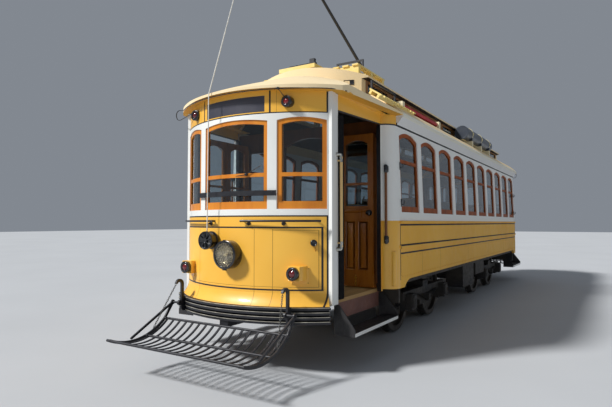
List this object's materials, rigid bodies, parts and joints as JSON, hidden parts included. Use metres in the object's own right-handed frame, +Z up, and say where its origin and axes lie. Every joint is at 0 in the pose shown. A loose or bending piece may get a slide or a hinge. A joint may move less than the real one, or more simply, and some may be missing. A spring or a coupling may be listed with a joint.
{
  "type": "vintage tram",
  "caption": "Double-ended vintage tram with bowed ends, folding doors, two swivelling trucks, roof poles and slatted safety scoops; runs on rails.",
  "frame": {"origin": "centre of the car, at the lowest point of the wheel flanges", "axes": "+Z up, Y along the car with the front end at -Y, X across with the open door at +X"},
  "size_m": [2.66, 12.8, 5.4665],
  "materials": {
    "body_yellow": "gloss paint, warm yellow",
    "white_paint": "gloss white paint",
    "roof_cream": "painted canvas, cream",
    "varnished_wood": "varnished, orange brown",
    "window_glass": "clear",
    "black_iron": "black paint",
    "dark_steel": "dusty dark grey",
    "wheel_steel": "worn steel",
    "bright_metal": "polished",
    "lamp_red": "red lens in a black ring",
    "riser_brown": "brown red paint",
    "bar_red": "red paint",
    "tank_blue": "dark blue grey paint",
    "rattan": "woven cane",
    "rope": "white rope",
    "chain": "worn steel links"
  },
  "bodies": {
    "car_body": {"anticlimbers": "black_iron", "aprons": "body_yellow", "bulkheads": "varnished_wood", "corner_panels": "body_yellow", "deck_glass": "window_glass", "door_headers": "body_yellow", "door_jambs": "varnished_wood", "drawbars": "black_iron", "driver_stands": "black_iron", "end_frames": "white_paint", "end_glass": "window_glass", "end_lamps": "lamp_red", "end_rails": "black_iron", "end_sashes": "varnished_wood", "floors": "varnished_wood", "headlights": "bright_metal", "hoods": "roof_cream", "hook_brackets": "black_iron", "letterboards": "body_yellow", "pole_ropes": "rope", "risers": "riser_brown", "roof_bar": "bar_red", "roof_boards": "roof_cream", "roof_irons": "black_iron", "roof_main": "roof_cream", "roof_tank": "tank_blue", "rope_catchers": "black_iron", "sashes_left": "varnished_wood", "sashes_right": "varnished_wood", "scoop_chains": "chain", "seats": "rattan", "side_glass": "window_glass", "side_wall_left": "body_yellow", "side_wall_right": "body_yellow", "steps": "black_iron", "underfloor_boxes": "dark_steel", "underframe": "dark_steel"},
    "truck_front": {"truck_front": "dark_steel", "motors_front": "dark_steel"},
    "truck_rear": {"truck_rear": "dark_steel", "motors_rear": "dark_steel"},
    "pole_base_front": {"pole_base_front": "black_iron"},
    "pole_base_rear": {"pole_base_rear": "black_iron"},
    "pole_front": {"pole_front": "black_iron"},
    "pole_rear": {"pole_rear": "black_iron"},
    "scoop_front": {"scoop_front": "black_iron"},
    "scoop_rear": {"scoop_rear": "black_iron"},
    "wheelset_1": {"wheelset_1": "wheel_steel"},
    "wheelset_2": {"wheelset_2": "wheel_steel"},
    "wheelset_3": {"wheelset_3": "wheel_steel"},
    "wheelset_4": {"wheelset_4": "wheel_steel"},
    "door_front_left_1": {"door_front_left_1": "varnished_wood"},
    "door_front_left_2": {"door_front_left_2": "varnished_wood"},
    "door_front_right_1": {"door_front_right_1": "varnished_wood"},
    "door_front_right_2": {"door_front_right_2": "varnished_wood"},
    "door_rear_left_1": {"door_rear_left_1": "varnished_wood"},
    "door_rear_left_2": {"door_rear_left_2": "varnished_wood"},
    "door_rear_right_1": {"door_rear_right_1": "varnished_wood"},
    "door_rear_right_2": {"door_rear_right_2": "varnished_wood"}
  },
  "joints": [
    {"name": "wheelset_1_spin", "type": "hinge", "parent": "truck_front", "child": "wheelset_1", "pos_m": [0, -2.985, 0.445], "axis": [1, 0, 0], "continuous": true},
    {"name": "wheelset_2_spin", "type": "hinge", "parent": "truck_front", "child": "wheelset_2", "pos_m": [0, -1.515, 0.445], "axis": [1, 0, 0], "continuous": true},
    {"name": "wheelset_3_spin", "type": "hinge", "parent": "truck_rear", "child": "wheelset_3", "pos_m": [0, 1.515, 0.445], "axis": [1, 0, 0], "continuous": true},
    {"name": "wheelset_4_spin", "type": "hinge", "parent": "truck_rear", "child": "wheelset_4", "pos_m": [0, 2.985, 0.445], "axis": [1, 0, 0], "continuous": true},
    {"name": "truck_front_swivel", "type": "hinge", "parent": "car_body", "child": "truck_front", "pos_m": [0, -2.25, 0.7], "axis": [0, 0, 1], "range_deg": [-8, 8]},
    {"name": "truck_rear_swivel", "type": "hinge", "parent": "car_body", "child": "truck_rear", "pos_m": [0, 2.25, 0.7], "axis": [0, 0, 1], "range_deg": [-8, 8]},
    {"name": "door_front_right_swing", "type": "hinge", "parent": "car_body", "child": "door_front_right_1", "pos_m": [0.982, -4.03, 1.6], "axis": [0, 0, 1], "range_deg": [0, 90]},
    {"name": "door_front_right_fold", "type": "hinge", "parent": "door_front_right_1", "child": "door_front_right_2", "pos_m": [0.5265, -4.0655, 1.6], "axis": [0, 0, 1], "range_deg": [-180, 0]},
    {"name": "door_front_left_swing", "type": "hinge", "parent": "car_body", "child": "door_front_left_1", "pos_m": [-0.982, -4.03, 1.6], "axis": [0, 0, 1], "range_deg": [0, 90]},
    {"name": "door_front_left_fold", "type": "hinge", "parent": "door_front_left_1", "child": "door_front_left_2", "pos_m": [-1.0175, -4.4855, 1.6], "axis": [0, 0, 1], "range_deg": [-180, 0]},
    {"name": "door_rear_left_swing", "type": "hinge", "parent": "car_body", "child": "door_rear_left_1", "pos_m": [-0.982, 4.03, 1.6], "axis": [0, 0, 1], "range_deg": [-90, 0]},
    {"name": "door_rear_left_fold", "type": "hinge", "parent": "door_rear_left_1", "child": "door_rear_left_2", "pos_m": [-1.0175, 4.4855, 1.6], "axis": [0, 0, 1], "range_deg": [0, 180]},
    {"name": "door_rear_right_swing", "type": "hinge", "parent": "car_body", "child": "door_rear_right_1", "pos_m": [0.982, 4.03, 1.6], "axis": [0, 0, 1], "range_deg": [0, 90]},
    {"name": "door_rear_right_fold", "type": "hinge", "parent": "door_rear_right_1", "child": "door_rear_right_2", "pos_m": [1.0175, 4.4855, 1.6], "axis": [0, 0, 1], "range_deg": [-180, 0]},
    {"name": "pole_front_swivel", "type": "hinge", "parent": "car_body", "child": "pole_base_front", "pos_m": [0, -1.6, 3.54], "axis": [0, 0, 1], "range_deg": [-30, 30]},
    {"name": "pole_front_lift", "type": "hinge", "parent": "pole_base_front", "child": "pole_front", "pos_m": [0, -1.6, 3.675], "axis": [-1, 0, 0], "range_deg": [-21, 15], "deforming": ["pole_ropes"]},
    {"name": "scoop_front_fold", "type": "hinge", "parent": "car_body", "child": "scoop_front", "pos_m": [0, -5.577, 0.632], "axis": [-1, 0, 0], "range_deg": [0, 70], "deforming": ["scoop_chains"]},
    {"name": "pole_rear_swivel", "type": "hinge", "parent": "car_body", "child": "pole_base_rear", "pos_m": [0, 1.6, 3.54], "axis": [0, 0, 1], "range_deg": [-4, 4]},
    {"name": "pole_rear_lift", "type": "hinge", "parent": "pole_base_rear", "child": "pole_rear", "pos_m": [0, 1.6, 3.675], "axis": [1, 0, 0], "range_deg": [0, 42]},
    {"name": "scoop_rear_fold", "type": "hinge", "parent": "car_body", "child": "scoop_rear", "pos_m": [0, 5.577, 0.632], "axis": [1, 0, 0], "range_deg": [0, 70]}
  ],
  "couplings": [
    {"joint": "door_front_right_fold", "follows": "door_front_right_swing", "ratio": -2},
    {"joint": "door_front_left_fold", "follows": "door_front_left_swing", "ratio": -2},
    {"joint": "door_rear_left_fold", "follows": "door_rear_left_swing", "ratio": -2},
    {"joint": "door_rear_right_fold", "follows": "door_rear_right_swing", "ratio": -2}
  ]
}
